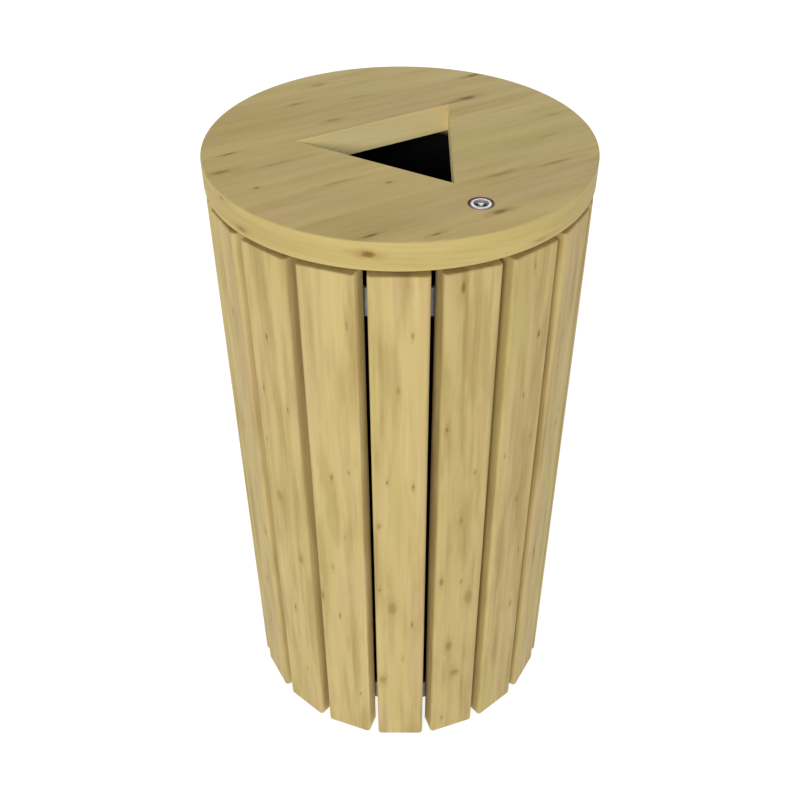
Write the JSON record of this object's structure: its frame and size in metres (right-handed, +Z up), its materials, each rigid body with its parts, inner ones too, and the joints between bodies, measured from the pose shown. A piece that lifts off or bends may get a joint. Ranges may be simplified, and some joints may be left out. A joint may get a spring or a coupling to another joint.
{
  "type": "litter bin",
  "caption": "Round outdoor litter bin with vertical wooden slats on steel hoops, a hinged wooden lid with a three-cornered opening, a key lock and a lift-out liner.",
  "frame": {"origin": "centre of the ring of slats, on the ground", "axes": "+Z up; -Y is the front, where the lock is; the lid hinge is at the back, +Y; +X is to the right seen from the front"},
  "size_m": [0.5, 0.5, 0.935],
  "materials": {
    "slat_wood": "planed spruce, honey coloured, satin",
    "lid_wood": "planed spruce, glued board, satin",
    "galvanised_steel": "hot-dip galvanised, dull",
    "fasteners": "zinc plated",
    "lock_metal": "satin nickel on zinc die-cast",
    "buffer_rubber": "matt black",
    "liner_black": "matt black",
    "handle_wire": "bright zinc plated wire"
  },
  "bodies": {
    "surround": {"bottom_hoop": "galvanised_steel", "bottom_hoop_screws": "fasteners", "floor_plate": "galvanised_steel", "hinge_bracket": "galvanised_steel", "hinge_pin": "fasteners", "lid_rest_left": "galvanised_steel", "lid_rest_right": "galvanised_steel", "lock_keeper": "galvanised_steel", "rest_buffer_left": "buffer_rubber", "rest_buffer_right": "buffer_rubber", "slat_01": "slat_wood", "slat_02": "slat_wood", "slat_03": "slat_wood", "slat_04": "slat_wood", "slat_05": "slat_wood", "slat_06": "slat_wood", "slat_07": "slat_wood", "slat_08": "slat_wood", "slat_09": "slat_wood", "slat_10": "slat_wood", "slat_11": "slat_wood", "slat_12": "slat_wood", "slat_13": "slat_wood", "slat_14": "slat_wood", "slat_15": "slat_wood", "slat_16": "slat_wood", "slat_17": "slat_wood", "slat_18": "slat_wood", "top_hoop": "galvanised_steel", "top_hoop_screws": "fasteners"},
    "lid": {"lid_panel": "lid_wood", "hinge_leaf": "galvanised_steel", "hinge_leaf_screws": "fasteners", "lid_strap_left": "galvanised_steel", "lid_strap_right": "galvanised_steel", "lid_strap_screws": "fasteners", "lock_housing": "lock_metal", "lock_nut": "fasteners"},
    "lock": {"lock_rotor": "lock_metal", "lock_cam": "lock_metal", "lock_cam_screw": "fasteners"},
    "liner": {"liner": "liner_black", "handle_lugs_left": "handle_wire", "handle_lugs_right": "handle_wire"},
    "left_handle": {"liner_handle_left": "handle_wire"},
    "right_handle": {"liner_handle_right": "handle_wire"}
  },
  "joints": [
    {"name": "lid_hinge", "type": "hinge", "parent": "surround", "child": "lid", "pos_m": [0, 0.2462, 0.894], "axis": [-1, 0, 0], "range_deg": [0, 100]},
    {"name": "lock_turn", "type": "hinge", "parent": "lid", "child": "lock", "pos_m": [0, -0.187, 0.9], "axis": [0, 0, -1], "range_deg": [0, 90]},
    {"name": "liner_lift", "type": "slide", "parent": "surround", "child": "liner", "axis": [0, 0, 1], "range_m": [0, 0.014]},
    {"name": "left_handle_swing", "type": "hinge", "parent": "liner", "child": "left_handle", "pos_m": [-0.16, 0, 0.8], "axis": [0, -1, 0], "range_deg": [0, 165]},
    {"name": "right_handle_swing", "type": "hinge", "parent": "liner", "child": "right_handle", "pos_m": [0.16, 0, 0.8], "axis": [0, 1, 0], "range_deg": [0, 165]}
  ]
}
